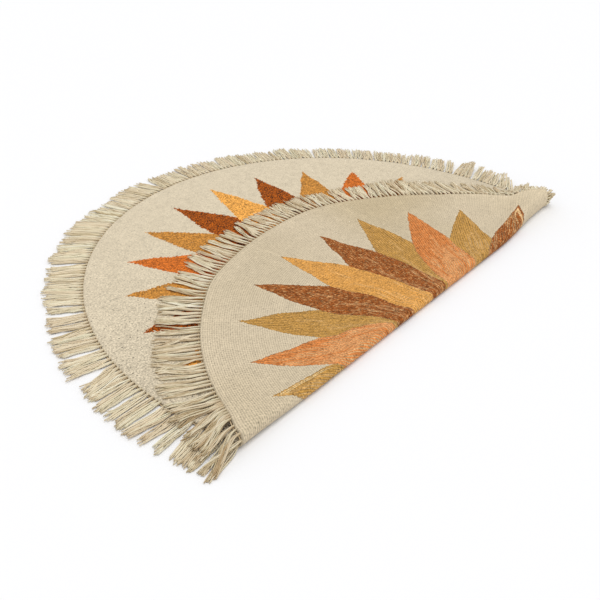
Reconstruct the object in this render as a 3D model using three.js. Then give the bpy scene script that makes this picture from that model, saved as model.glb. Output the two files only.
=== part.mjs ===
// Round tufted rug with a yarn fringe, folded over once along a chord and lying on the floor.
// Millimetres, +Z up.  X runs along the fold, Y from the fold towards the middle of the rug.
//
// The rug is described flat first: x along the fold line, t across it, both from the rug's centre.
// foldAt(x, t) then lays a flat point into the folded shape: the lower layer lies on the floor,
// the cloth turns over in a soft roll, and the upper layer lies on the lower one, back side up.
import * as THREE from 'three';

// ---- driving sizes ----
const RUG_RADIUS = 500;        // radius of the round cloth
const CLOTH_THICK = 5;         // ground cloth with its loop pile
const LAYER_GAP = 1.3;         // air between the two layers
const CHORD_OFFSET = 135.5;    // distance of the fold line from the rug's centre
const FOLD_FRONT = -2;         // Y of the roll's foremost point, before centring
const ROLL_TURN_BACK = 0.17;   // how far past half a turn the roll goes, radians
const EASE_RADIUS = 120;       // radius with which the upper layer eases down to flat
const FRINGE_THICK = 4;
const FRINGE_GAP = 0.3;        // between the cloth's edge and the comb's spine
const SPINE_WIDTH = 4;
const TOOTH_FILL = 0.74;       // share of the pitch that a tooth takes
const TOOTH_STEPS = 2;
const FLOOR_LEVEL = FRINGE_THICK / 2;
const UPPER_LEVEL = CLOTH_THICK + 0.5 + FRINGE_THICK / 2;
const CENTRE_X = -10.5;        // middle of the finished rug's outline, before centring
const CENTRE_Y = 341.3;

// radius of the roll along the fold (mid-thickness): a tight crease in the middle, looser at the ends
const ROLL = [
  { x: -500, radius: 8.0 },
  { x: -330, radius: 6.2 },
  { x: -80, radius: 6.0 },
  { x: 120, radius: 6.6 },
  { x: 300, radius: 6.2 },
  { x: 500, radius: 9.0 },
];
// soft humps of the upper layer: it springs up at both ends of the fold, more at the right
const HUMPS = [
  { name: 'right_end', fromX: 300, fullX: 440, toY: 230, flatY: 60, height: 20 },
  { name: 'left_end', fromX: -370, fullX: -470, toY: 120, flatY: 30, height: 4 },
];
// the cloth reaches a little further along the fold where it springs up
const END_REACH = { fromX: 360, fullX: 490, toY: 160, reach: 9 };

// rows of the cloth, as angles round its edge from the far point, and as distances in the roll
const LOWER_ROWS = { fromDeg: 4, toDeg: 104, rows: 21 };
const ROLL_ROWS = { fromT: -125, toT: -159, rows: 13 };
const UPPER_ROWS = { fromDeg: 110.5, toDeg: 176, rows: 17 };
const COLUMNS = 20;

// the fringe, run by run round the edge (degrees from +X in the flat rug): the spine's cells,
// and which of them carry a tooth (the first one, then every so many)
const FRINGE_RUNS = [
  { name: 'lower', fromDeg: -14.5, toDeg: 194.5, cells: 91, first: 0, every: 1 },
  { name: 'left_roll', fromDeg: 194.5, toDeg: 198.0, cells: 6, first: 1, every: 3 },
  { name: 'upper', fromDeg: 198.0, toDeg: 341.6, cells: 62, first: 0, every: 1 },
  { name: 'right_roll', fromDeg: 341.6, toDeg: 345.5, cells: 6, first: 1, every: 3 },
];
// fringe length round the edge
const FRINGE_LENGTHS = [
  { deg: -15, length: 58 },
  { deg: 15, length: 56 },
  { deg: 60, length: 56 },
  { deg: 100, length: 62 },
  { deg: 135, length: 66 },
  { deg: 170, length: 78 },
  { deg: 196, length: 84 },
  { deg: 215, length: 80 },
  { deg: 250, length: 72 },
  { deg: 290, length: 68 },
  { deg: 330, length: 64 },
  { deg: 345, length: 60 },
];

// ---- helpers ----
const clamp01 = (v) => Math.min(1, Math.max(0, v));
const smooth = (v) => { const c = clamp01(v); return c * c * (3 - 2 * c); };

function tableAt(table, key, value, at) {
  if (at <= table[0][key]) return table[0][value];
  for (let i = 1; i < table.length; i++) {
    if (at <= table[i][key]) {
      const a = table[i - 1], b = table[i];
      return a[value] + (b[value] - a[value]) * smooth((at - a[key]) / (b[key] - a[key]));
    }
  }
  return table[table.length - 1][value];
}

function humpAt(x, y) {
  let h = 0;
  for (const k of HUMPS) {
    h += k.height * smooth((x - k.fromX) / (k.fullX - k.fromX)) * (1 - smooth((y - k.flatY) / (k.toY - k.flatY)));
  }
  return h;
}

// mid-thickness point of the folded cloth for a flat point
function midAt(x, t) {
  const r = tableAt(ROLL, 'x', 'radius', x);
  const z0 = CLOTH_THICK / 2;
  const yStart = r + CLOTH_THICK / 2 + FOLD_FRONT;
  const run = yStart - CHORD_OFFSET - t;
  const turn = Math.PI + ROLL_TURN_BACK;
  const drop = r * (1 + Math.cos(ROLL_TURN_BACK)) - (CLOTH_THICK + LAYER_GAP);
  const slope = (drop - EASE_RADIUS * (1 - Math.cos(ROLL_TURN_BACK))) / Math.sin(ROLL_TURN_BACK);
  let y, z, over;
  if (run <= 0) {
    y = t + CHORD_OFFSET; z = z0; over = 0;
  } else if (run <= r * turn) {
    const a = run / r;
    y = yStart - r * Math.sin(a); z = z0 + r - r * Math.cos(a); over = (1 - Math.cos(Math.min(a, Math.PI))) / 2;
  } else {
    let rest = run - r * turn;
    y = yStart + r * Math.sin(ROLL_TURN_BACK); z = z0 + r + r * Math.cos(ROLL_TURN_BACK); over = 1;
    const down = Math.min(rest, slope);
    y += down * Math.cos(ROLL_TURN_BACK); z -= down * Math.sin(ROLL_TURN_BACK); rest -= down;
    const bend = Math.min(rest / EASE_RADIUS, ROLL_TURN_BACK);
    y += EASE_RADIUS * (Math.sin(ROLL_TURN_BACK) - Math.sin(ROLL_TURN_BACK - bend));
    z -= EASE_RADIUS * (Math.cos(ROLL_TURN_BACK - bend) - Math.cos(ROLL_TURN_BACK));
    rest -= bend * EASE_RADIUS;
    y += rest;
  }
  z += over * humpAt(x, y);
  const reach = END_REACH.reach * smooth((x - END_REACH.fromX) / (END_REACH.fullX - END_REACH.fromX)) * (1 - smooth(y / END_REACH.toY));
  return new THREE.Vector3(x + reach, y, z);
}

// the point and the direction out of the rug's back side
function foldAt(x, t) {
  const e = 0.05;
  const p = midAt(x, t);
  const dx = midAt(x + e, t).sub(midAt(x - e, t));
  const dt = midAt(x, t + e).sub(midAt(x, t - e));
  const n = dx.cross(dt).normalize().negate();
  return { p, n };
}

const offset = (f, d) => f.p.clone().addScaledVector(f.n, d);

function meshFrom(name, points, faces, color, roughness) {
  const geometry = new THREE.BufferGeometry();
  const xyz = new Float32Array(points.length * 3);
  points.forEach((p, i) => { xyz[3 * i] = p.x - CENTRE_X; xyz[3 * i + 1] = p.y - CENTRE_Y; xyz[3 * i + 2] = p.z; });
  geometry.setAttribute('position', new THREE.BufferAttribute(xyz, 3));
  geometry.setIndex(faces.flatMap(([a, b, c, d]) => [a, b, c, a, c, d]));
  const mesh = new THREE.Mesh(geometry, new THREE.MeshStandardMaterial({ color, roughness, metalness: 0 }));
  mesh.name = name;
  return mesh;
}

// ---- the cloth: rows across the fold, front and back side, closed round the edge ----
function rugCloth() {
  const rows = [];
  for (let i = 0; i < LOWER_ROWS.rows; i++) {
    const d = LOWER_ROWS.fromDeg + (LOWER_ROWS.toDeg - LOWER_ROWS.fromDeg) * i / (LOWER_ROWS.rows - 1);
    rows.push(RUG_RADIUS * Math.cos(THREE.MathUtils.degToRad(d)));
  }
  for (let i = 0; i < ROLL_ROWS.rows; i++) rows.push(ROLL_ROWS.fromT + (ROLL_ROWS.toT - ROLL_ROWS.fromT) * i / (ROLL_ROWS.rows - 1));
  for (let i = 0; i < UPPER_ROWS.rows; i++) {
    const d = UPPER_ROWS.fromDeg + (UPPER_ROWS.toDeg - UPPER_ROWS.fromDeg) * i / (UPPER_ROWS.rows - 1);
    rows.push(RUG_RADIUS * Math.cos(THREE.MathUtils.degToRad(d)));
  }
  const points = [], faces = [];
  const wide = COLUMNS + 1;
  for (const t of rows) {
    const half = Math.sqrt(RUG_RADIUS * RUG_RADIUS - t * t);
    for (let j = 0; j <= COLUMNS; j++) {
      const f = foldAt(-half + 2 * half * j / COLUMNS, t);
      points.push(offset(f, CLOTH_THICK / 2), offset(f, -CLOTH_THICK / 2));   // back side, front side
    }
  }
  const back = (i, j) => 2 * (i * wide + j), front = (i, j) => 2 * (i * wide + j) + 1;
  const last = rows.length - 1;
  for (let i = 0; i < last; i++) {
    for (let j = 0; j < COLUMNS; j++) {
      faces.push([back(i, j), back(i, j + 1), back(i + 1, j + 1), back(i + 1, j)]);
      faces.push([front(i, j), front(i + 1, j), front(i + 1, j + 1), front(i, j + 1)]);
    }
    faces.push([back(i, 0), back(i + 1, 0), front(i + 1, 0), front(i, 0)]);
    faces.push([back(i, COLUMNS), front(i, COLUMNS), front(i + 1, COLUMNS), back(i + 1, COLUMNS)]);
  }
  for (let j = 0; j < COLUMNS; j++) {
    faces.push([back(0, j), front(0, j), front(0, j + 1), back(0, j + 1)]);
    faces.push([back(last, j), back(last, j + 1), front(last, j + 1), front(last, j)]);
  }
  return meshFrom('rug_cloth', points, faces, 0xd8c8a4, 0.95);
}

// ---- the fringe: one comb whose spine follows the whole edge, round both ends of the fold ----
function fringe() {
  const points = [], faces = [];
  const inner = RUG_RADIUS + FRINGE_GAP, outer = inner + SPINE_WIDTH;
  // four corners of the spine at one place: inner/outer edge, back/front side
  const station = (deg) => {
    const a = THREE.MathUtils.degToRad(deg);
    const i = foldAt(inner * Math.cos(a), inner * Math.sin(a));
    const o = foldAt(outer * Math.cos(a), outer * Math.sin(a));
    const at = points.length;
    points.push(offset(i, CLOTH_THICK / 2), offset(i, CLOTH_THICK / 2 - FRINGE_THICK));
    points.push(offset(o, CLOTH_THICK / 2), offset(o, CLOTH_THICK / 2 - FRINGE_THICK));
    return { deg, ib: at, if: at + 1, ob: at + 2, of: at + 3 };
  };
  const cells = [];
  for (const run of FRINGE_RUNS) {
    const pitch = (run.toDeg - run.fromDeg) / run.cells;
    for (let k = 0; k < run.cells; k++) {
      const middle = run.fromDeg + (k + 0.5) * pitch;
      const tooth = k % run.every === run.first;
      cells.push({ middle, tooth, a: station(middle - pitch * TOOTH_FILL / 2), b: station(middle + pitch * TOOTH_FILL / 2) });
    }
  }
  cells.forEach((cell, k) => {
    const next = cells[(k + 1) % cells.length];
    for (const [s, e] of [[cell.a, cell.b], [cell.b, next.a]]) {
      faces.push([s.ib, e.ib, e.if, s.if]);
      faces.push([s.ib, s.ob, e.ob, e.ib]);
      faces.push([s.if, e.if, e.of, s.of]);
    }
    faces.push([cell.b.ob, cell.b.of, next.a.of, next.a.ob]);
    if (!cell.tooth) {
      faces.push([cell.a.ob, cell.a.of, cell.b.of, cell.b.ob]);
      return;
    }

    // the tooth: out from the spine, easing down to what it lies on
    const angle = THREE.MathUtils.degToRad(cell.middle);
    const root = points[cell.a.ob].clone().add(points[cell.a.of]).add(points[cell.b.ob]).add(points[cell.b.of]).multiplyScalar(0.25);
    const width = points[cell.a.ob].distanceTo(points[cell.b.ob]);
    const near = midAt(outer * Math.cos(angle), outer * Math.sin(angle));
    const far = midAt((outer + 1) * Math.cos(angle), (outer + 1) * Math.sin(angle));
    const out = new THREE.Vector3(far.x - near.x, far.y - near.y, 0).normalize();
    const side = foldAt(outer * Math.cos(angle), outer * Math.sin(angle)).n.z > 0 ? 1 : -1;
    const up = new THREE.Vector3(0, 0, side);
    const across = new THREE.Vector3().crossVectors(out, up);
    const level = root.z < FLOOR_LEVEL + 2.2 ? FLOOR_LEVEL : UPPER_LEVEL;
    const length = tableAt(FRINGE_LENGTHS, 'deg', 'length', cell.middle) - SPINE_WIDTH;
    let ring = [cell.a.ob, cell.a.of, cell.b.of, cell.b.ob];
    for (let s = 1; s <= TOOTH_STEPS; s++) {
      const share = s / TOOTH_STEPS;
      const c = root.clone().addScaledVector(out, length * share);
      c.z = root.z + (level - root.z) * smooth(share * 1.15);
      const at = points.length;
      for (const [w, h] of [[-0.5, 0.5], [-0.5, -0.5], [0.5, -0.5], [0.5, 0.5]]) {
        points.push(c.clone().addScaledVector(across, width * w).addScaledVector(up, FRINGE_THICK * h));
      }
      const nextRing = [at, at + 1, at + 2, at + 3];
      for (let q = 0; q < 4; q++) {
        const r = (q + 1) % 4;
        faces.push([ring[q], ring[r], nextRing[r], nextRing[q]]);
      }
      ring = nextRing;
    }
    faces.push(ring);
  });
  return meshFrom('fringe', points, faces.map((f) => f.reverse()), 0xcdbfa0, 0.95);
}

const rug = new THREE.Group();
rug.add(rugCloth());
rug.add(fringe());
export default rug;
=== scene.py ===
import math
import bpy
import numpy as np
from mathutils import Matrix, Vector


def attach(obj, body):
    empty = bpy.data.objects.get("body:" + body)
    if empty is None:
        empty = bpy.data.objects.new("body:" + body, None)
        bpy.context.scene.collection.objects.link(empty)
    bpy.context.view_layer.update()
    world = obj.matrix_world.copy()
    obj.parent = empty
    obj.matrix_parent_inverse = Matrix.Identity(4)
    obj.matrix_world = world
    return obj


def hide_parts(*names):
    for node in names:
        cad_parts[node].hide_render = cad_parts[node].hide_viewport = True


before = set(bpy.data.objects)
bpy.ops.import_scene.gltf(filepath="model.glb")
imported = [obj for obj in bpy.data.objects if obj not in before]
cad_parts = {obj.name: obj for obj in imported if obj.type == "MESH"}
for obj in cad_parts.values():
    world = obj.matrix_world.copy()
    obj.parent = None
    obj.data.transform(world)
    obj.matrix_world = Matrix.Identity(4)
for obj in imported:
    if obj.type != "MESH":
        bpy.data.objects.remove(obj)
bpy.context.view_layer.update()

rng = np.random.default_rng(20240)
MM = 0.001

# ---------------------------------------------------------------- the folded shape
RUG_RADIUS = 500.0
CLOTH_THICK = 5.0
LAYER_GAP = 1.3
CHORD_OFFSET = 135.5
FOLD_FRONT = -2.0
ROLL_TURN_BACK = 0.17
EASE_RADIUS = 120.0
CENTRE_X = -10.5
CENTRE_Y = 341.3
ROLL_X = [-500, -330, -80, 120, 300, 500]
ROLL_RADIUS = [8.0, 6.2, 6.0, 6.6, 6.2, 9.0]
HUMPS = [  # from_x, full_x, flat_y, to_y, height
    (300, 440, 60, 230, 20.0),
    (-370, -470, 30, 120, 4.0),
]
END_REACH = (360, 490, 160, 9.0)  # from_x, full_x, to_y, reach
END_BACK, END_LIFT = (1.0, 10.0), 1.5    # the fold's left and right ends lie this much further back and higher, mm
BULGES = [(284.0, 11.0, 9.0), (245.0, 7.0, 5.0), (197.0, 4.5, 12.5)]  # where the edge runs wide: degrees, half width, mm


def smooth(v):
    c = np.clip(v, 0, 1)
    return c * c * (3 - 2 * c)


def table_at(xs, ys, at):
    xs, ys = np.asarray(xs, float), np.asarray(ys, float)
    i = np.clip(np.searchsorted(xs, at) - 1, 0, len(xs) - 2)
    return ys[i] + (ys[i + 1] - ys[i]) * smooth((at - xs[i]) / (xs[i + 1] - xs[i]))


def hump_at(x, y):
    h = 0
    for from_x, full_x, flat_y, to_y, height in HUMPS:
        h = h + height * smooth((x - from_x) / (full_x - from_x)) * (1 - smooth((y - flat_y) / (to_y - flat_y)))
    return h


def mid_at(x, t):
    """The middle of the cloth's thickness for flat points, in the fold's own frame (mm)."""
    x, t = np.broadcast_arrays(np.asarray(x, float), np.asarray(t, float))
    r = table_at(ROLL_X, ROLL_RADIUS, x)
    z0, back = CLOTH_THICK / 2, ROLL_TURN_BACK
    y_start = r + CLOTH_THICK / 2 + FOLD_FRONT
    run = y_start - CHORD_OFFSET - t
    turn = math.pi + back
    drop = r * (1 + math.cos(back)) - (CLOTH_THICK + LAYER_GAP)
    slope = (drop - EASE_RADIUS * (1 - math.cos(back))) / math.sin(back)
    a = np.clip(run / r, 0, turn)
    rest = np.maximum(run - r * turn, 0)
    down = np.minimum(rest, slope)
    bend = np.minimum((rest - down) / EASE_RADIUS, back)
    flat = rest - down - bend * EASE_RADIUS
    y = y_start - r * np.sin(a) + down * math.cos(back) + EASE_RADIUS * (math.sin(back) - np.sin(back - bend)) + flat
    y = np.where(run <= 0, t + CHORD_OFFSET, y)
    z = z0 + r - r * np.cos(a) - down * math.sin(back) - EASE_RADIUS * (np.cos(back - bend) - math.cos(back))
    over = (1 - np.cos(np.minimum(a, math.pi))) / 2
    hump = hump_at(x, y)
    z = z + over * (hump - np.minimum(valley_at(x, t), hump * 0.9))
    end = smooth((np.abs(x) - 260) / 200) * (1 - smooth(y / 260))
    y = y + np.where(x < 0, END_BACK[0], END_BACK[1]) * end
    z = z + END_LIFT * end
    from_x, full_x, to_y, reach = END_REACH
    x2 = x + reach * smooth((x - from_x) / (full_x - from_x)) * (1 - smooth(y / to_y))
    return np.stack([x2, y, z], -1), over


def fold_at(x, t):
    """Points and directions out of the rug's back side, and how far over the fold they are (0 lower, 1 upper)."""
    e = 0.05
    p, over = mid_at(x, t)
    dx = mid_at(x + e, t)[0] - mid_at(x - e, t)[0]
    dt = mid_at(x, t + e)[0] - mid_at(x, t - e)[0]
    n = -np.cross(dx, dt)
    return p, n / np.linalg.norm(n, axis=-1, keepdims=True), over


def valley_at(x, t):
    """How far the upper layer sinks along a soft crease that runs from the fold to the edge near the right end, mm."""
    qx, qt = x - 282.0, t + 164.0
    along, off = qx * 0.9575 - qt * 0.289, qx * 0.289 + qt * 0.9575
    return 14.0 * smooth(along / 190.0) * np.exp(-(off / np.where(off < 0, 85.0, 22.0)) ** 2)


def wide_at(deg):
    """How far the edge runs outside its circle, mm."""
    return sum(mm * np.exp(-((deg - at) / width) ** 2) for at, width, mm in BULGES)


def to_world(p):
    return (np.asarray(p) - np.array([CENTRE_X, CENTRE_Y, 0.0])) * MM


# ---------------------------------------------------------------- small helpers
def waves(x, y, seed, size, octaves=3):
    """Smooth unevenness from a few crossing waves, about -1 to 1."""
    r = np.random.default_rng(seed)
    out = 0
    for o in range(octaves):
        for _ in range(3):
            d = r.uniform(0, 2 * math.pi)
            k = 2 * math.pi / (size / (1.7 ** o)) * r.uniform(0.75, 1.3)
            out = out + np.sin((x * math.cos(d) + y * math.sin(d)) * k + r.uniform(0, 6.28)) * 0.6 ** o / 3
    return out


def new_mesh(name, verts, faces, material, smooth_shade=True):
    me = bpy.data.meshes.new(name)
    me.from_pydata([tuple(v) for v in verts], [], faces)
    me.update()
    if smooth_shade:
        me.polygons.foreach_set("use_smooth", [True] * len(me.polygons))
    o = bpy.data.objects.new(name, me)
    bpy.context.scene.collection.objects.link(o)
    me.materials.append(material)
    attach(o, "root")
    return o


class Sock:
    """A value in a material's node tree, so that formulas can be written as plain arithmetic."""

    def __init__(self, tree, socket):
        self.tree, self.socket = tree, socket

    def _op(self, kind, *others, clamp=False):
        n = self.tree.nodes.new("ShaderNodeMath")
        n.operation, n.use_clamp = kind, clamp
        for i, v in enumerate((self, *others)):
            if isinstance(v, Sock):
                self.tree.links.new(v.socket, n.inputs[i])
            else:
                n.inputs[i].default_value = v
        return Sock(self.tree, n.outputs[0])

    def __add__(self, o): return self._op("ADD", o)
    def __radd__(self, o): return self._op("ADD", o)
    def __sub__(self, o): return self._op("SUBTRACT", o)
    def __rsub__(self, o): return (self * -1.0) + o
    def __mul__(self, o): return self._op("MULTIPLY", o)
    def __rmul__(self, o): return self._op("MULTIPLY", o)
    def __truediv__(self, o): return self._op("DIVIDE", o)
    def __pow__(self, o): return self._op("POWER", o)
    def abs(self): return self._op("ABSOLUTE")
    def floor(self): return self._op("FLOOR")
    def sin(self): return self._op("SINE")
    def cos(self): return self._op("COSINE")
    def sqrt(self): return self._op("SQRT")
    def mod(self, o): return self._op("FLOORED_MODULO", o)
    def min(self, o): return self._op("MINIMUM", o)
    def max(self, o): return self._op("MAXIMUM", o)
    def clamp(self): return self._op("ADD", 0.0, clamp=True)

    def atan2(self, o): return self._op("ARCTAN2", o)

    def step(self, a, b):
        """0 below a, 1 above b, smooth between."""
        n = self.tree.nodes.new("ShaderNodeMapRange")
        n.interpolation_type = "SMOOTHSTEP"
        self.tree.links.new(self.socket, n.inputs["Value"])
        n.inputs["From Min"].default_value, n.inputs["From Max"].default_value = a, b
        return Sock(self.tree, n.outputs["Result"])


class Paint:
    """Node helpers for one material."""

    def __init__(self, name, rough, sheen=0.0):
        self.mat = bpy.data.materials.new(name)
        self.mat.use_nodes = True
        self.tree = self.mat.node_tree
        self.bsdf = self.tree.nodes["Principled BSDF"]
        self.bsdf.inputs["Roughness"].default_value = rough
        self.bsdf.inputs["Specular IOR Level"].default_value = 0.08
        self.bsdf.inputs["Sheen Weight"].default_value = sheen
        self.bsdf.inputs["Sheen Roughness"].default_value = 0.6

    def node(self, kind, **values):
        n = self.tree.nodes.new(kind)
        for k, v in values.items():
            setattr(n, k, v)
        return n

    def attr(self, name):
        n = self.node("ShaderNodeAttribute", attribute_name=name)
        return n

    def split(self, socket):
        n = self.node("ShaderNodeSeparateXYZ")
        self.tree.links.new(socket, n.inputs[0])
        return [Sock(self.tree, n.outputs[i]) for i in range(3)]

    def join(self, x, y, z=0.0):
        n = self.node("ShaderNodeCombineXYZ")
        for i, v in enumerate((x, y, z)):
            if isinstance(v, Sock):
                self.tree.links.new(v.socket, n.inputs[i])
            else:
                n.inputs[i].default_value = v
        return n.outputs[0]

    def noise(self, vector, scale, detail=2.0, rough=0.5):
        n = self.node("ShaderNodeTexNoise")
        self.tree.links.new(vector, n.inputs["Vector"])
        n.inputs["Scale"].default_value = scale
        n.inputs["Detail"].default_value = detail
        n.inputs["Roughness"].default_value = rough
        return Sock(self.tree, n.outputs[0])

    def voronoi(self, vector, scale, feature="F1"):
        n = self.node("ShaderNodeTexVoronoi", feature=feature)
        self.tree.links.new(vector, n.inputs["Vector"])
        n.inputs["Scale"].default_value = scale
        return n

    def curve(self, value, points):
        n = self.node("ShaderNodeFloatCurve")
        self.tree.links.new(value.socket, n.inputs["Value"])
        c = n.mapping.curves[0]
        while len(c.points) < len(points):
            c.points.new(0.5, 0.5)
        for p, (x, y) in zip(c.points, points):
            p.location = (x, y)
        n.mapping.update()
        return Sock(self.tree, n.outputs[0])

    def ramp(self, value, stops, constant=True):
        n = self.node("ShaderNodeValToRGB")
        n.color_ramp.interpolation = "CONSTANT" if constant else "LINEAR"
        while len(n.color_ramp.elements) < len(stops):
            n.color_ramp.elements.new(0.5)
        for e, (at, colour) in zip(n.color_ramp.elements, stops):
            e.position, e.color = at, (*colour, 1.0)
        self.tree.links.new(value.socket, n.inputs[0])
        return n.outputs[0]

    def mix(self, factor, a, b, blend="MIX"):
        n = self.node("ShaderNodeMix", data_type="RGBA", blend_type=blend)
        for i, v in ((0, factor), (6, a), (7, b)):
            if isinstance(v, Sock):
                self.tree.links.new(v.socket, n.inputs[i])
            elif isinstance(v, bpy.types.NodeSocket):
                self.tree.links.new(v, n.inputs[i])
            elif isinstance(v, tuple):
                n.inputs[i].default_value = (*v, 1.0)
            else:
                n.inputs[i].default_value = v
        return n.outputs[2]

    def scaled(self, colour, factor):
        """colour times a number."""
        n = self.node("ShaderNodeVectorMath", operation="SCALE")
        self.tree.links.new(colour, n.inputs[0])
        if isinstance(factor, Sock):
            self.tree.links.new(factor.socket, n.inputs["Scale"])
        else:
            n.inputs["Scale"].default_value = factor
        return n.outputs[0]

    def finish(self, colour, height, distance):
        self.tree.links.new(colour, self.bsdf.inputs["Base Color"])
        b = self.node("ShaderNodeBump")
        b.inputs["Distance"].default_value = distance
        b.inputs["Strength"].default_value = 1.0
        self.tree.links.new(height.socket, b.inputs["Height"])
        self.tree.links.new(b.outputs[0], self.bsdf.inputs["Normal"])
        return self.mat


def srgb(r, g, b, gain=1.0):
    return tuple(gain * ((c / 255 / 12.92) if c / 255 <= 0.04045 else ((c / 255 + 0.055) / 1.055) ** 2.4) for c in (r, g, b))


# ---------------------------------------------------------------- camera
R = RUG_RADIUS
LEVEL = 4.0  # height of the lower layer's visible edge, mm
cam_at = Vector((*to_world([-2.3537778 * R, -1.16028085 * R, 1.67478392 * R + LEVEL]),))
right = Vector((0.6185519, -0.78361339, 0.05782394))
up = Vector((0.40265432, 0.37931144, 0.83306202))
ahead = Vector((0.67473183, 0.49200904, -0.55014912))
cam_data = bpy.data.cameras.new("camera")
cam_data.sensor_width = 36.0
cam_data.lens = 36.0 * 884.52 / 600.0
cam_data.clip_start, cam_data.clip_end = 0.05, 60.0
camera = bpy.data.objects.new("camera", cam_data)
camera.matrix_world = Matrix((
    (right.x, up.x, -ahead.x, cam_at.x),
    (right.y, up.y, -ahead.y, cam_at.y),
    (right.z, up.z, -ahead.z, cam_at.z),
    (0, 0, 0, 1),
))
bpy.context.scene.collection.objects.link(camera)
bpy.context.scene.camera = camera

# ---------------------------------------------------------------- floor and light
floor_paint = Paint("floor_paint", 0.9)
floor_paint.bsdf.inputs["Base Color"].default_value = (0.86, 0.86, 0.87, 1)
floor_mesh = bpy.data.meshes.new("floor")
S = 12.0
floor_mesh.from_pydata([(-S, -S, 0), (S, -S, 0), (S, S, 0), (-S, S, 0)], [], [(0, 1, 2, 3)])
floor_mesh.materials.append(floor_paint.mat)
floor = bpy.data.objects.new("floor", floor_mesh)
floor.location = (0, 0, -0.0002)
bpy.context.scene.collection.objects.link(floor)

world = bpy.data.worlds.new("studio")
bpy.context.scene.world = world
world.use_nodes = True
world.node_tree.nodes["Background"].inputs[0].default_value = (1.0, 1.0, 1.0, 1)
world.node_tree.nodes["Background"].inputs[1].default_value = 0.86


def sun(name, direction, strength, angle):
    d = bpy.data.lights.new(name, "SUN")
    d.energy, d.angle = strength, math.radians(angle)
    o = bpy.data.objects.new(name, d)
    o.rotation_mode = "QUATERNION"
    o.rotation_quaternion = (-Vector(direction)).to_track_quat("-Z", "Y")
    bpy.context.scene.collection.objects.link(o)


sun("key", (0.05, -0.15, 1.2), 0.95, 35)
bpy.context.scene.view_settings.view_transform = "Standard"

# ---------------------------------------------------------------- cloth material
TIP, NOTCH, STEP_DEG, FIRST_DEG = 0.866, 0.615, 15.0, 8.5
ROW = 3.7       # pitch of the stitch rows, mm
STITCH = 4.6    # length of a stitch, mm
BROWN, OLIVE, CORAL, AMBER = 0, 1, 2, 3
ORDER = [BROWN, OLIVE, CORAL, OLIVE, BROWN, AMBER]
FRONT = [srgb(150, 74, 9), srgb(194, 133, 59), srgb(202, 108, 38), srgb(233, 166, 80)]
BACK = [srgb(148, 81, 30), srgb(187, 141, 71), srgb(207, 126, 65), srgb(218, 157, 79)]
FRONT_GROUND, BACK_GROUND, BACK_GROUND_2 = srgb(217, 203, 177), srgb(206, 190, 161), srgb(211, 195, 167)


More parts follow.
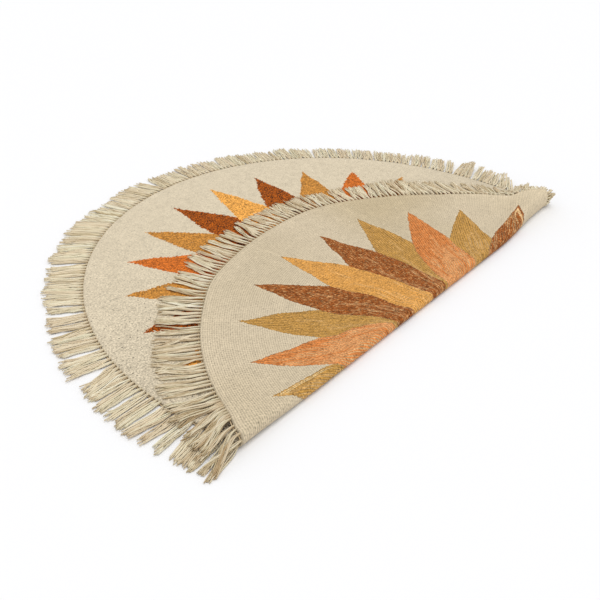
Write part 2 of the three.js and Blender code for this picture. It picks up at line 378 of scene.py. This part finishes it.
def cloth_material():
    p = Paint("tufted_cotton", 0.95, sheen=0.03)
    flat = p.attr("flat").outputs["Vector"]
    x, t, side = p.split(flat)
    side = side.step(0.45, 0.55)
    place = p.join(x * 0.01, t * 0.01, side * 3.0)  # decimetres; the two sides differ
    other = p.join(t * 0.01 + 7.3, x * 0.01, side * 3.0)
    jag = 11.0 - side * 4.5
    xs = x + (p.noise(place, 1.7, 1.0) - 0.5) * 12.0
    ts = t + (p.noise(other, 1.7, 1.0) - 0.5) * 12.0
    xj = xs + (p.noise(place, 21.0, 1.0) - 0.5) * jag
    tj = ts + (p.noise(other, 21.0, 1.0) - 0.5) * jag

    def flower(fx, ft):
        """At a place: distance from the centre (0 to 1), degrees, petals counted round, petal number, mm inside the petal's edge."""
        rho = (fx * fx + ft * ft).sqrt() / R
        deg = (ft.atan2(fx) * (180 / math.pi)).mod(360.0)
        # the petals of the folded half sit a little further round
        lag = deg.step(203.0, 214.0) * (1.0 - deg.step(318.0, 366.0)) * 2.7
        swirl = rho.step(0.3, 0.43) * (1.0 - rho.step(0.43, 0.58)) * (1.0 - deg.step(248.0, 282.0) * 0.8) * 4.4
        a = ((deg - FIRST_DEG + lag - swirl) / STEP_DEG + 0.5).mod(6.0)
        inner = ((NOTCH - rho) / 0.26).clamp()      # 0 outside, 1 well inside the flower
        olive_in, amber_out = inner * 0.42, inner * 0.28
        edges = [amber_out, olive_in + 1.0, 2.0 - olive_in, olive_in + 3.0, 4.0 - olive_in, 5.0 - amber_out, amber_out + 6.0]
        count = None
        near = None
        for e in edges:
            hit = (a - e).step(-0.004, 0.004)
            count = hit if count is None else count + hit
            gap = (a - e).abs()
            near = gap if near is None else near.min(gap)
        near = near.min(a + 1.0)
        k = (count - 1.0).mod(6.0)
        # a few petals are a little shorter or longer than the others
        at_tip = rho
        for where, less in ((275.8, 0.024), (260.8, 0.008), (305.8, 0.012), (230.8, -0.016), (335.8, -0.01)):
            at_tip = at_tip + (1.0 - (deg - where).abs().step(4.0, 7.4)) * less
        s = ((at_tip - NOTCH) / (TIP - NOTCH)).clamp()
        w = (1.0 - s) ** 1.15 * 0.5
        arc = rho * (R * math.radians(STEP_DEG))
        return at_tip, deg, a, arc, k, (near - 0.5 + w) * arc

    rho, deg, a, arc, k, d = flower(xj, tj)
    rho_s, _, a_s, arc_s, _, d_s = flower(xs, ts)
    petal = d.step(-0.45, 0.45) * (1.0 - rho.step(TIP - 0.006, TIP - 0.002))
    # rows of stitches: they follow the petals' edges, and the rug's edge near it
    rim = (1.0 - (x * x + t * t).sqrt() / R) * R
    axis_mm = (a_s - a_s.floor() - 0.5) * arc_s                 # mm from the petal's middle line
    at_right = (x + t * 0.5).step(270.0, 300.0)
    row_mm = (axis_mm + (d_s - axis_mm) * at_right) * petal + (1.0 - petal) * rim
    row = row_mm / (petal * (at_right * 1.4 + 0.8) + ROW)
    ridge = ((row * (2 * math.pi)).cos() * -0.5 + 0.5)          # 1 on a row, 0 between rows
    way = (deg * (math.pi / 180 * 0.85)) * (1.0 - petal) + rho_s * petal
    way = way * (R / STITCH) + row.floor() * petal * 0.5
    stitch = ((way * (2 * math.pi)).cos() * 0.5 + 0.5)          # 1 at stitch ends
    dent = stitch ** 2.0 * (1.0 - ridge * 0.7)
    # loops on the front, unevenness of tone on both sides
    loops = p.voronoi(place, 27.0)
    loop = 1.0 - (Sock(p.tree, loops.outputs["Distance"]) * 1.5).clamp()
    tone = p.noise(place, 2.0, 3.0, 0.6) - 0.5
    coral = 1.0 - (k - 2.0).abs().step(0.2, 0.6)
    brown = (1.0 - ((k - 2.0).abs() - 2.0).abs().step(0.2, 0.6)) * petal
    cell = p.split(loops.outputs["Color"])[0] - 0.5
    speck = p.noise(place, 32.0, 3.0, 0.65) - 0.5
    patch = p.noise(place, 7.0, 3.0, 0.65) - 0.5
    streak = p.noise(p.join(row * 0.9, way * 0.22, side * 5.0 + 4.0), 1.0, 2.0) - 0.5
    dots = p.voronoi(p.join(x * 0.01, t * 0.01, side * 3.0 + 5.0), 15.0)
    dot = 1.0 - Sock(p.tree, dots.outputs["Distance"]).step(0.12, 0.24)
    rare = p.split(dots.outputs["Color"])[0].step(0.55, 0.6)
    dot = dot * rare
    far = (x * 0.6 + t * 0.8).step(-320.0, 330.0)
    stops = [i / 6 for i in range(6)]
    idx = (k + 0.5) / 6.0
    front = p.mix(petal, FRONT_GROUND, p.ramp(idx, [(q, FRONT[c]) for q, c in zip(stops, ORDER)]))
    drift = p.noise(place, 0.55, 2.0).step(0.35, 0.65)
    ground = p.mix(drift, BACK_GROUND, BACK_GROUND_2)
    # painted shade: a patch of the upper layer's back near its right-hand edge is made darker and yellower, standing in
    # for the lower light that falls there
    painted_shade_dip = (1.0 - (x - 260.0).abs().step(50.0, 190.0)) * (1.0 - t.step(-400.0, -260.0))
    ground = p.mix(painted_shade_dip * 0.9, ground, srgb(199, 181, 147))
    low = 1.0 - x.step(-440.0, -250.0)
    back = p.mix(petal, ground, p.ramp(idx, [(q, BACK[c]) for q, c in zip(stops, ORDER)]))
    # near the fold the rows part and the light ground cloth shows between them
    near_fold = 1.0 - (t + 150.0).abs().step(20.0, 95.0)
    part = (p.noise(p.join(row.floor() * 0.83, way * 0.035, 9.0), 1.0, 1.0) + near_fold * 0.12 + near_fold * coral * 0.14 + at_right * 0.45).step(0.6, 0.68)
    between = ((1.0 - ridge) * 1.25 - 0.25).clamp()
    wide = (((row * (math.pi * 1.05)).cos() * -0.5 + 0.5) * 1.7 - 0.7).clamp()
    between = between * (1.0 - at_right) + wide * at_right
    back = p.mix(part * petal * between * (at_right * 0.3 + coral * 0.1 + 0.68), back, srgb(244, 204, 148))
    # in the petal next to the fold's left end two rows stand well apart from the others
    first = deg.step(188.0, 191.0) * (1.0 - deg.step(207.2, 208.2)) * axis_mm.step(-3.0, 1.0) * petal
    lines = (1.0 - (d_s - 4.6).abs().step(0.3, 1.3)) + (1.0 - (d_s - 8.8).abs().step(0.3, 1.3))
    back = p.mix(first * lines * p.noise(other, 5.0, 1.0).step(0.25, 0.45) * 0.9, back, srgb(240, 216, 164))
    # short light flecks, where the ground cloth shows through the yarn
    fleck = p.noise(p.join(row * 2.0, way * 0.5, 13.0), 1.0, 1.0).step(0.52, 0.68)
    back = p.mix(fleck * petal * (brown * 0.26 + 0.26) * (1.0 - at_right * 0.7), back, srgb(236, 190, 130))
    back_shade = 0.947 - petal * 0.035 + (ridge - 0.5) * (petal * (at_right * -0.5 + 0.2) + low * 0.08 + 0.14) - dent * (petal * -0.04 + 0.16) + tone * 0.12 + speck * (petal * 1.5 + brown * 0.9 + low * 0.5 + 0.8) + patch * (petal * 0.4 + brown * 0.6 + 0.3) + streak * petal * 0.6 - dot * 0.22
    back_shade = back_shade + (1.0 - (rim - 8.0).abs().step(0.8, 2.2)) * 0.06 + (1.0 - (d + 2.2).abs().step(1.0, 2.2)) * 0.05
    # painted light: the upper layer's back is made lighter towards the fold's right end, standing in for the light that
    # falls there
    back_shade = back_shade + x.step(340.0, 480.0) * 0.145
    strong = (1.55 - far * 1.0) * (1.0 - petal) + petal * 1.1
    front_shade = 0.945 + tone * 0.14 + patch * (petal * 0.7 + brown * 1.0 + 0.35) + ((loop - 0.45) * 0.10 + cell * (petal * 0.3 + 0.14) + speck * (petal * 1.5 + brown * 3.6 + 1.4) - dot * (0.4 - petal * 0.25)) * strong
    front_shade = front_shade - (1.0 - t.step(0.0, 260.0)) * (1.0 - petal) * 0.075
    colour = p.mix(side, p.scaled(front, front_shade), p.scaled(back, back_shade))
    height = side * (ridge * 0.3 - dent * 0.4 + speck * 0.6) + (1.0 - side) * (loop * 0.6 + speck * 1.2)
    return p.finish(colour, height, 0.0011)


def yarn_material():
    p = Paint("cotton_yarn", 0.95, sheen=0.05)
    round_, along, tone = p.split(p.attr("yarn").outputs["Vector"])     # turns round the yarn, mm along it, a tone of its own
    shade = Sock(p.tree, p.attr("shade").outputs["Fac"])
    ply = ((along / 3.4 + round_) * (4 * math.pi)).sin() * 0.5 + 0.5
    fuzz = p.noise(p.join(round_ * 3.0, along * 0.35, tone * 40.0), 3.0, 2.0) - 0.5
    colour = p.ramp(tone, [(0.0, srgb(216, 200, 164)), (0.3, srgb(236, 220, 191)), (0.55, srgb(240, 228, 199)), (0.8, srgb(233, 225, 195)), (1.0, srgb(249, 242, 221))], constant=False)
    # painted shade: where the shade attribute is low, the yarn is also tinted warm brown, as shadowed cotton looks
    colour = p.mix(shade.step(0.5, 1.0), p.mix(1.0, colour, (0.88, 0.69, 0.46), "MULTIPLY"), colour)
    light = (0.97 + ply * 0.08 + fuzz * 0.2) * shade
    return p.finish(p.scaled(colour, light), ply * 0.5 + fuzz * 0.5, 0.0005)


cloth_paint = cloth_material()
yarn_paint = yarn_material()

# ---------------------------------------------------------------- the cloth
COLUMNS = 186


def cloth():
    lower = R * np.cos(np.radians(np.linspace(1.6, 104.2, 118)))
    roll = np.linspace(-124.6, -160.2, 29)
    upper = R * np.cos(np.radians(np.linspace(109.3, 178.4, 81)))
    ts = np.concatenate([lower, roll, upper])
    half = np.sqrt(R * R - ts * ts)
    share = np.linspace(-1, 1, COLUMNS + 1)
    # a little finer at the edges, so that the edge's rounding shows
    share = np.sign(share) * (1 - (1 - np.abs(share)) ** 1.03)
    edge_in = 1.3
    X = half[:, None] * share[None, :]
    T = np.repeat(ts[:, None], COLUMNS + 1, 1)
    wide = wide_at(np.degrees(np.arctan2(T, X)) % 360) / R
    scale = (R - edge_in) / R + wide * (np.sqrt(X * X + T * T) / R) ** 6
    p, n, over = fold_at(X * scale, T * scale)
    # slight unevenness; the layers move together so that they stay apart, and the lower one stays on the floor
    lift = waves(X, T, 5, 420) * 0.9 * over
    rho = np.sqrt(X * X + T * T) / R
    back = p + n * (CLOTH_THICK / 2)
    front = p - n * (CLOTH_THICK / 2)
    lumps = waves(X, T, 11, 60, 2) * 0.35
    front = front - n * (lumps * (1 - over))[..., None]
    back = back + n * (lumps * over)[..., None]
    for q in (back, front):
        q[..., 2] += lift
    rows, cols = X.shape
    # rim: one more ring of points at the full radius, at half the thickness
    rim_x = np.concatenate([X[0, :], X[1:, -1], X[-1, -2::-1], X[-2:0:-1, 0]])
    rim_t = np.concatenate([T[0, :], T[1:, -1], T[-1, -2::-1], T[-2:0:-1, 0]])
    rim_wide = 1 + wide_at(np.degrees(np.arctan2(rim_t, rim_x)) % 360) / R
    rim_p, rim_n, rim_over = fold_at(rim_x * rim_wide, rim_t * rim_wide)
    rim_p[..., 2] += waves(rim_x, rim_t, 5, 420) * 0.9 * rim_over
    grid = np.arange(rows * cols).reshape(rows, cols)
    verts = np.concatenate([back.reshape(-1, 3), front.reshape(-1, 3), rim_p])
    verts[:, 2] = np.maximum(verts[:, 2], 0.0)
    a, b = 0, rows * cols
    q = np.stack([grid[:-1, :-1], grid[:-1, 1:], grid[1:, 1:], grid[1:, :-1]], -1).reshape(-1, 4)
    faces = [q + a, q[:, ::-1] + b]
    ring = np.concatenate([grid[0, :], grid[1:, -1], grid[-1, -2::-1], grid[-2:0:-1, 0]])
    m = len(ring)
    i = np.arange(m)
    j = (i + 1) % m
    mid = 2 * rows * cols + i
    midj = 2 * rows * cols + j
    faces.append(np.stack([ring[i] + a, mid, midj, ring[j] + a], -1))
    faces.append(np.stack([mid, ring[i] + b, ring[j] + b, midj], -1))
    faces = np.concatenate(faces)
    o = new_mesh("rug_sheet", to_world(verts), faces.tolist(), cloth_paint)
    flat = np.concatenate([
        np.stack([X.ravel(), T.ravel(), np.ones(X.size)], -1),
        np.stack([X.ravel(), T.ravel(), np.zeros(X.size)], -1),
        np.stack([rim_x, rim_t, np.full(m, 0.5)], -1),
    ])
    at = o.data.attributes.new("flat", "FLOAT_VECTOR", "POINT")
    at.data.foreach_set("vector", flat.astype(np.float32).ravel())
    uv = o.data.uv_layers.new(name="cloth_uv")
    loops = np.zeros(len(o.data.loops), np.int32)
    o.data.loops.foreach_get("vertex_index", loops)
    f = flat[loops]
    uv.data.foreach_set("uv", np.stack([(f[:, 0] / 1010 + 0.5) * 0.5 + 0.5 * np.round(f[:, 2]), f[:, 1] / 1010 + 0.5], -1).astype(np.float32).ravel())
    return o


rug = cloth()
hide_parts("rug_cloth")

# ---------------------------------------------------------------- the fringe
BUNDLE = 9.0       # spacing of the bundles round the edge, mm
YARN = 1.15        # yarn radius, mm
STEPS, SIDES = 13, 5
# how the bundles lie round the edge: degrees in the flat rug, length in mm, lean in degrees (+ is anticlockwise on the flat
# rug), and how far the ends curl up off the floor, mm
LIE = [
    (-18, 30, 2, 8), (-15, 30, 2, 6), (-14, 28, 8, 5), (-11, 36, 36, 9), (-8.5, 62, 26, 11), (-7.2, 44, 22, 8), (-6, 36, 30, 6), (-5, 52, 38, 9), (-3.5, 68, 32, 12),
    (-2, 57, 24, 11), (-0.8, 50, 14, 9), (0.5, 53, 10, 9), (3, 58, 10, 10), (6, 64, 9, 10), (9, 72, 7, 11), (11, 66, -3, 9), (11.9, 56, 4, 5), (12.6, 68, 12, 3), (16, 66, 10, 3),
    (19, 64, 8, 3), (22, 62, 5, 3), (23.5, 56, 6, 2), (25, 56, 9, 2), (30, 54, 8, 2), (40, 54, 8, 2), (45, 56, 6, 2), (47.2, 56, 2, 2),
    (48.3, 52, 4, 1), (50, 54, 9, 1), (52.5, 58, 14, 1), (54.5, 61, 12, 1), (56.3, 66, 6, 1), (57.4, 54, 9, 1), (62, 56, 8, 1), (66, 56, 8, 1),
    (70, 59, 6, 1), (72.4, 61, -1, 1), (73.2, 50, 4, 1), (76, 58, 5, 1), (80, 59, 5, 1), (82.3, 61, 2, 1), (83, 55, 8, 1), (86.5, 60, 5, 1),
    (89, 61, 0, 1), (91, 64, 0, 1), (91.8, 60, 14, 1), (93, 65, 18, 1), (97, 66, 15, 1), (99, 64, 14, 1), (101.5, 62, 8, 1), (104.7, 58, 3, 1),
    (105.9, 60, 2, 1), (107.2, 65, 3, 1), (110, 68, 11, 1), (112, 70, 15, 1), (116, 71, 17, 1), (122, 71, 18, 1), (126.5, 71, 16, 1), (128.7, 71, 9, 1),
    (130.5, 69, 11, 1), (133.5, 66, 11, 1), (135.5, 67, 5, 1), (138, 66, 1, 1), (140, 70, -3, 1), (141.7, 68, -4, 1), (144.5, 66, -3, 1), (147.8, 65, -3, 1),
    (150, 68, 5, 1), (152.5, 70, 6, 1), (155, 72, 5, 1), (157.5, 73, 2.5, 1), (160, 74, 2, 1), (162.5, 73, 2, 1), (164.9, 77, 4, 1), (165.0, 73, 22, 1),
    (167.5, 74, 18, 1), (170, 77, 11, 1), (172.5, 77, 4.5, 1), (175, 80, 0, 1), (178.2, 80, 2, 1), (180, 80, -3, 1), (184, 81, -4.5, 1), (186.3, 80, -1.5, 1),
    (187.5, 82, 2, 1), (190, 80, 1, 0), (192.3, 80, -1, 0), (193.5, 79, -3, 0), (195, 78, 2, 0), (196, 78, 0, 0), (196.8, 76, -20, 0), (198, 76, -34, 0),
    (199.5, 76, -38, 0), (201, 74, -27, 0), (203, 82, -25, 0), (205.5, 80, -17, 0), (208, 78, -8, 0), (210.5, 77, 1, 0), (212.5, 79, 4, 0), (215, 78, 6, 0),
    (218, 77, -2, 0), (221.5, 76, -4, 0), (225, 75, -9, 0), (229.2, 76, -9, 0), (229.4, 75, -6, 0), (235, 76, -11, 0), (238, 76, -12, 0), (240, 72, 2, 0),
    (241, 70, 5.5, 0), (243.5, 68, 7, 0), (247.5, 70, 15, 0), (250, 74, 14, 0), (253, 73, 12, 0), (257.5, 71, 10, 0), (260.3, 68, 7, 0), (264, 68, 4, 0),
    (268, 70, 1, 0), (275, 66, -4, 0), (280, 65, -7, 0), (285, 66, -4, 0), (290, 64, -2, 0), (295, 67, -5, 0), (300, 66, -2, 0),
    (303.5, 78, -4, 0), (308.5, 83, -7, 0), (314.5, 74, -17, 0), (318, 74, -27, 0), (320, 75, -36, 0), (328.5, 72, -39, 0), (333, 66, -36, 0),
    (336, 52, -26, 0), (338, 36, -12, 3), (339.5, 30, 8, 4), (341, 30, 14, 4), (343, 28, 16, 4),
]
# places where neighbouring clumps part: degrees, how far the bundles beside it are pulled away from it, and how far they
# bow apart between root and tip, mm
GAPS = [
    (-11, 0.5, 0), (-5.4, 1.6, 0), (-1.0, 0.8, 0), (3.5, 0.3, 0), (11.7, 2.2, 0), (18, 0.1, 0), (23.2, 0.6, 3.0), (31, 0.1, 0), (39, 0.1, 0),
    (47.7, 1.0, 0), (57.4, 1.4, 0), (65, 0.1, 0), (73.0, 0.5, 0), (82.7, 0.5, 0), 
    (91.4, 1.3, 0), (98.5, 0.15, 0), (105.9, 1.2, 0), (113, 0.2, 0), (121, 0.2, 0), (129.3, 1.1, 3.6),
    (134.8, 0.6, 3.2), (137, 0.2, 1.5), (144.6, 0.3, 3.2), (147.3, 0.9, 4.4), (150.5, 0.2, 3.4), (155, 0.3, 0), (159.6, 0.6, 4.6), (162.3, 0.2, 1.4),
    (164.95, 0.9, 2.4), (169, 0.3, 0), (173.5, 0.5, 3.2), (178.9, 1.1, 3.4), (182, 0.3, 0), (184.5, 0.3, 0), (186.6, 1.4, 1.0), (189.5, 0.4, 0),
    (192.6, 1.2, 0), (196.4, 0.3, 0), (200, 1.0, 0), (205, 0.2, 0), (210.3, 0.3, 1.0), (214, 0.3, 0), (217.9, 0.8, 6.0), (221.3, 0.4, 1.0),
    (224.6, 0.6, 1.5), (229.3, -0.4, -2.0), (231.2, 0.3, 1.5), (233.6, 0.3, 1.0), (237.5, 0.4, 2.2), (239.6, 0.4, 1.5), (241.2, 0.3, 1.5), (243.6, 0.4, 2.6),
    (247.5, 0.4, 2.2), (250, 0.2, 0), (252.8, 0.5, 3.0), (257.3, 0.2, 0), (260.3, 0.5, 3.0), (262.1, 0.3, 1.0), (264.2, 0.5, 3.0), (268, 0.3, 0),
    (272.5, 0.3, 1.5), (276, 0.2, 0), (280.2, 0.4, 2.6), (282.7, 0.2, 0.8), (285.2, 0.3, 2.0), (290.5, 0.2, 0.8), (293, 0.1, 0.4), (297, 0.2, 0),
    (301, 0.1, 0), (317.5, 0.2, 0), (330, 0.3, 0), (341, 0.4, 0), (349, 0.5, 0),
]


def ground_level(x, y):
    """Height of what a yarn of the upper layer comes down on: the lower layer, its fringe, or the floor."""
    rho = np.sqrt(x * x + (y - CHORD_OFFSET) ** 2)
    inside = 1 - smooth((rho - (R - 2)) / 10.0)
    on_fringe = 1 - smooth((rho - (R + 60)) / 20.0)
    return 5.2 * inside + (1 - inside) * 4.4 * on_fringe


def fringe_paths():
    """Centre lines of all yarns: (points in mm, tone, upper)."""
    count = int(round(2 * math.pi * R / BUNDLE))
    lie = np.array(LIE, float)
    gap_at = np.array([g[0] for g in GAPS], float)
    gap_pull = np.array([g[1] for g in GAPS], float)
    out = []
    s = np.linspace(0, 1, STEPS + 1)
    places = [-17.5 + 360.0 * (i + rng.uniform(-0.14, 0.14)) / count for i in range(count)]
    places = [q for q in places if not 199.7 < q < 200.7]       # the hollow beside the fold's left end
    tuft = [-18.0, -17.2, -16.4, -15.6, -14.8, -14.0, 338.4, 339.3, 340.1, 340.8, 341.4, 341.9, 338.0, 338.8, 339.7, 340.5, 341.1, 341.7, -17.6, -16.8, -16.0]    # more ends at the right one
    tangle = [201.1, 201.8, 202.5, 203.3, 204.1, 204.9, 205.8, 206.8]    # and on top at the left one
    fill = [294.3, 295.2, 298.4, 299.2, 308.3, 309.1, 309.8]    # and in the openings of the far upper edge
    for deg in places + tuft + tangle + fill:
        th = math.radians(deg)
        length = float(np.interp(deg, lie[:, 0], lie[:, 1])) * rng.uniform(0.95, 1.04)
        lean = float(np.interp(deg, lie[:, 0], lie[:, 2]))
        lift = float(np.interp(deg, lie[:, 0], lie[:, 3]))
        # pull towards the middle of the clump between two gaps
        g = int(np.clip(np.searchsorted(gap_at, deg) - 1, 0, len(gap_at) - 2))
        lo, hi = gap_at[g], gap_at[g + 1]
        pull = (deg - (lo + hi) / 2) / max((hi - lo) / 2, 1e-3)
        strength = gap_pull[g] if pull < 0 else gap_pull[g + 1]
        lean -= pull * abs(pull) * strength * 4.5
        root_r = R - 1.5 + wide_at(deg)
        p, n, over = fold_at(root_r * math.cos(th), root_r * math.sin(th))
        q, _, _ = fold_at((root_r + 1) * math.cos(th), (root_r + 1) * math.sin(th))
        out_dir = q - p
        sense = 1.0 if over < 0.5 else -1.0      # the flat rug is mirrored on the upper layer
        flat_dir = math.atan2(out_dir[1], out_dir[0])
        upper = bool(over >= 0.5)
        steep = 0.05 < over < 0.95
        lean += rng.normal(0, (2.4 if deg > 266 else 3.6) if upper else 1.7)
        if deg in tuft:
            lean += rng.uniform(-22, 22)
            length *= rng.uniform(0.55, 1.0)
        if deg in tangle:
            lean += rng.uniform(-16, 16)
        ang = flat_dir + sense * math.radians(lean)
        # centre line of the bundle: it leaves the edge squarely, then takes its lean, and wanders a little
        ease = smooth(s / 0.35) * 0.9 + 0.1
        bow = rng.normal(0, 0.2 if upper else 0.06)
        step = length / STEPS
        cx, cy = [p[0]], [p[1]]
        for m in range(STEPS):
            f = (ease[m] + ease[m + 1]) / 2
            c = bow * math.sin(s[m] * 3.0) + rng.normal(0, 0.02)
            vx = math.cos(flat_dir) * (1 - f) + math.cos(ang) * f - math.sin(ang) * c
            vy = math.sin(flat_dir) * (1 - f) + math.sin(ang) * f + math.cos(ang) * c
            v = math.hypot(vx, vy)
            cx.append(cx[-1] + vx / v * step)
            cy.append(cy[-1] + vy / v * step)
        cx, cy = np.array(cx), np.array(cy)
        tx, ty = np.gradient(cx), np.gradient(cy)
        tl = np.hypot(tx, ty)
        nx, ny = -ty / tl, tx / tl
        for at, _, apart in GAPS:
            if apart and abs(deg - at) < 2.5:
                shift = sense * math.copysign(apart, deg - at) * math.exp(-((deg - at) / 1.2) ** 2) * np.sin(math.pi * s ** 0.85)
                cx, cy = cx + nx * shift, cy + ny * shift
        tone = rng.normal(0.5, 0.2)
        yarns = 7 if upper else 6
        twist = rng.normal(0, 0.55)
        phase = rng.uniform(0, 1)
        spread = (2.7 if deg > 266 else 2.0) if upper else 2.6
        half = 1.0 + spread * smooth(s / (0.6 if upper else 0.3)) + rng.uniform(-0.3, 0.5) * s
        tall = 1.25 - 0.7 * s
        top = rng.uniform(0, 0.7) + (2.6 if deg in tangle else 0.0)
        bottom = smooth((deg - 160) / 12) * smooth((212 - deg) / 6)
        lit = (0.98 if upper else 0.99 + 0.03 * smooth((deg - 98) / 12) * smooth((150 - deg) / 25) - 0.03 * smooth((110 - deg) / 20)) - 0.085 * smooth((deg - 188) / 6) * smooth((211 - deg) / 5) + rng.uniform(-0.03, 0.03)
        curl = lift * rng.uniform(0.5, 1.3)
        for y in range(yarns):
            a = 2 * math.pi * (y / yarns + phase + twist * s + rng.uniform(-0.03, 0.03))
            side = half * np.cos(a) + (0.75 if upper else 0.4) * np.sin(s * rng.uniform(5, 11) + rng.uniform(0, 6)) * smooth(s / 0.2)
            rise = tall * (np.sin(a) + 1)
            stray = rng.normal(0, 1.1 if upper else 0.6) if rng.random() > 0.05 else rng.normal(0, 4.5)
            side = side + stray * s * s
            sparse = 228.8 < deg < 229.8      # the widest opening of the upper fringe
            if sparse:
                side = np.abs(side) * 0.5 + 2.4
            end = rng.uniform(0.86, 1.04)
            px = p[0] + (cx - p[0]) * end + nx * side
            py = p[1] + (cy - p[1]) * end + ny * side
            ground = ground_level(px, py) if (upper or steep) else np.zeros_like(px)
            rest = ground + YARN + 0.1 + rise + top * smooth(s / 0.3)
            root_z = p[2] + rise[0] - tall[0] + 0.7
            fall = smooth((s - 0.04) / (0.42 if abs(root_z - rest[0]) < 9 else 0.8))
            if p[0] > 0 and (steep or deg > 337):
                fall = fall * 0.25    # at the right end the short ends stand off the roll
            z = root_z * (1 - fall) + rest * fall
            z = z + curl * smooth((s - 0.15) / 0.85)
            z[1:] = np.maximum(z[1:], (ground + YARN + 0.05)[1:])
            z = np.maximum(z, YARN)
            if not sparse or y < 3:
                out.append((np.stack([px, py, z], -1), float(np.clip(tone + rng.normal(0, 0.14), 0, 1)), upper, float(lit * (1.0 - ((0.12 if upper else 0.07) + 0.02 * bottom) * (1 - math.sin(2 * math.pi * (y / yarns + phase)))))))
    return out


def yarn_mesh(name, paths, radius=YARN, closed=False):
    verts, faces, marks, shades = [], [], [], []
    turns = np.linspace(0, 2 * math.pi, SIDES, endpoint=False)
    base = 0
    for pts, tone, upper, lit in paths:
        k = len(pts)
        tan = np.roll(pts, -1, 0) - np.roll(pts, 1, 0) if closed else np.gradient(pts, axis=0)
        tan /= np.linalg.norm(tan, axis=1, keepdims=True)
        side = np.cross(tan, [0, 0, 1.0])
        side /= np.maximum(np.linalg.norm(side, axis=1, keepdims=True), 1e-6)
        upv = np.cross(side, tan)
        s = np.linspace(0, 1, k)
        rad = radius * (0.88 if upper else 1.0) * (0.95 + 0.1 * np.sin(s * 11 + tone * 30))
        if not closed:
            rad = rad * np.where(s > 0.96, 0.8, 1.0)
        ring = pts[:, None, :] + rad[:, None, None] * (np.cos(turns)[None, :, None] * side[:, None, :] + np.sin(turns)[None, :, None] * upv[:, None, :])
        verts.append(ring.reshape(-1, 3))
        dist = np.concatenate([[0], np.cumsum(np.linalg.norm(np.diff(pts, axis=0), axis=1))])
        marks.append(np.stack([np.tile(np.abs(turns / (2 * math.pi) * 2 - 1), k), np.repeat(dist, SIDES), np.full(k * SIDES, tone)], -1))
        dark = np.full(k, lit) if closed else (0.86 + 0.14 * smooth(s / 0.22)) * (1 - (0.04 if upper else 0.1) * smooth((s - 0.9) / 0.1)) * lit
        shades.append(np.repeat(dark, SIDES))
        last = k if closed else k - 1
        i = np.arange(last)[:, None] * SIDES + np.arange(SIDES)[None, :]
        j = np.arange(last)[:, None] * SIDES + (np.arange(SIDES)[None, :] + 1) % SIDES
        total = k * SIDES
        faces.extend((np.stack([i, j, (j + SIDES) % total, (i + SIDES) % total], -1).reshape(-1, 4) + base).tolist())
        if not closed:
            faces.append([base + q for q in range(SIDES)][::-1])
            faces.append([base + (k - 1) * SIDES + q for q in range(SIDES)])
        base += total
    o = new_mesh(name, to_world(np.concatenate(verts)), faces, yarn_paint)
    at = o.data.attributes.new("yarn", "FLOAT_VECTOR", "POINT")
    at.data.foreach_set("vector", np.concatenate(marks).astype(np.float32).ravel())
    at = o.data.attributes.new("shade", "FLOAT", "POINT")
    at.data.foreach_set("value", np.concatenate(shades).astype(np.float32))
    return o


def edge_cord():
    """The cord the bundles are knotted to, all round the cloth's edge; its yarn is darkened with painted shade (0.72),
    so that the gaps between the bundles' roots look dark.
    """
    th = np.linspace(0, 2 * math.pi, 700, endpoint=False)
    r = R + 1.6 + wide_at(np.degrees(th))
    p, n, over = fold_at(r * np.cos(th), r * np.sin(th))
    p[:, 2] = np.maximum(p[:, 2] - 1.3, 1.3)
    return yarn_mesh("fringe_cord", [(p, 0.4, False, 0.72)], radius=1.2, closed=True)


paths = fringe_paths()
lower_fringe = yarn_mesh("fringe_lower", [q for q in paths if not q[2]])
upper_fringe = yarn_mesh("fringe_upper", [q for q in paths if q[2]])
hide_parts("fringe")
cord = edge_cord()
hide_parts("fringe")
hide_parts("fringe")
